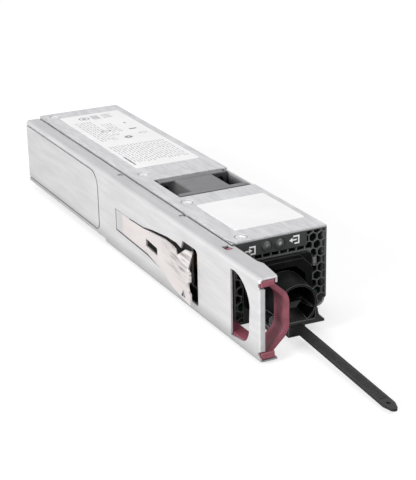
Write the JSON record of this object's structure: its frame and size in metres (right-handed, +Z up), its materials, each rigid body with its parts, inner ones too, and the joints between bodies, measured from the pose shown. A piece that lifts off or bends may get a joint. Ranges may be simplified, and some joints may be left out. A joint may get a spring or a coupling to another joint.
{
  "type": "plug-in power supply module",
  "caption": "Plug-in mains power supply with a fan, a side channel ending in a pull handle, a sprung locking finger with a release slide, and a strap that holds the cord.",
  "frame": {"origin": "centre of the case's flat underside, at the middle of the case's 49.4 mm width and 246 mm length", "axes": "+Z up, +Y to the rear where the card edge plugs in, +X to the right; the handle and the mains inlet are at -Y"},
  "size_m": [0.0629, 0.3602, 0.0427],
  "materials": {
    "galvanised": "satin zinc-coated sheet",
    "panel_paint": "matt dark grey paint",
    "black_plastic": "matt black moulded nylon",
    "maroon_plastic": "satin maroon moulded plastic",
    "strap_nylon": "matt black nylon",
    "lamp": "clear frosted light pipe",
    "pin_metal": "nickel-plated brass",
    "screw_steel": "bright zinc",
    "fan_plastic": "grey glass-filled plastic",
    "winding": "enamelled copper",
    "board": "green solder mask",
    "film": "black insulating film",
    "label_paper": "white polyester label",
    "ferrite": "sintered ferrite",
    "can": "dark sleeved can",
    "x_capacitor": "yellow box capacitor",
    "heat_sink": "extruded aluminium",
    "gold": "gold-plated copper"
  },
  "bodies": {
    "case": {"side_channel": "galvanised", "case_tray": "galvanised", "top_cover": "galvanised", "cover_screws": "screw_steel", "front_grille": "panel_paint", "indicator_strip": "panel_paint", "input_lamp": "lamp", "output_lamp": "lamp", "indicator_board": "board", "ac_inlet": "black_plastic", "inlet_pins": "pin_metal", "retention_strap": "strap_nylon", "fan_frame": "fan_plastic", "fan_stator": "winding", "board_posts": "screw_steel", "insulation_sheet": "film", "filter_board": "board", "main_board": "board", "card_contacts": "gold", "filter_chokes": "winding", "filter_capacitors": "x_capacitor", "inlet_fuse": "lamp", "bulk_capacitors": "can", "boost_choke": "winding", "heat_sinks": "heat_sink", "transformer_core": "ferrite", "transformer_winding": "winding", "output_capacitors": "can", "output_choke": "winding", "control_card": "board", "rear_panel": "galvanised", "rating_label": "label_paper", "blank_label": "label_paper"},
    "finger": {"latch_finger": "galvanised"},
    "slide": {"release_slide": "maroon_plastic"},
    "rotor": {"fan_rotor": "fan_plastic"},
    "clamp": {"clamp_base": "black_plastic", "clamp_hinge_pin": "black_plastic"},
    "collar": {"clamp_arch": "black_plastic"}
  },
  "joints": [
    {"name": "release_slide_push", "type": "slide", "parent": "case", "child": "slide", "axis": [0, 1, 0], "range_m": [0, 0.003], "stiffness_N_per_m": 400, "springref_m": -0.002},
    {"name": "finger_swing", "type": "hinge", "parent": "case", "child": "finger", "pos_m": [-0.0331, -0.018, 0.018], "axis": [0, 0, 1], "range_deg": [0, 1.75]},
    {"name": "fan_spin", "type": "hinge", "parent": "case", "child": "rotor", "pos_m": [0.0026, -0.0384, 0.021], "axis": [0, -1, 0], "continuous": true},
    {"name": "clamp_slide", "type": "slide", "parent": "case", "child": "clamp", "axis": [-0.0441, -0.9984, -0.0346], "range_m": [0, 0.07]},
    {"name": "collar_open", "type": "hinge", "parent": "clamp", "child": "collar", "pos_m": [-0.0133, -0.12966, 0.00772], "axis": [-0.0441, -0.9984, -0.0346], "range_deg": [0, 50]}
  ],
  "couplings": [
    {"joint": "finger_swing", "follows": "release_slide_push", "rad_per_m": 10.078}
  ]
}
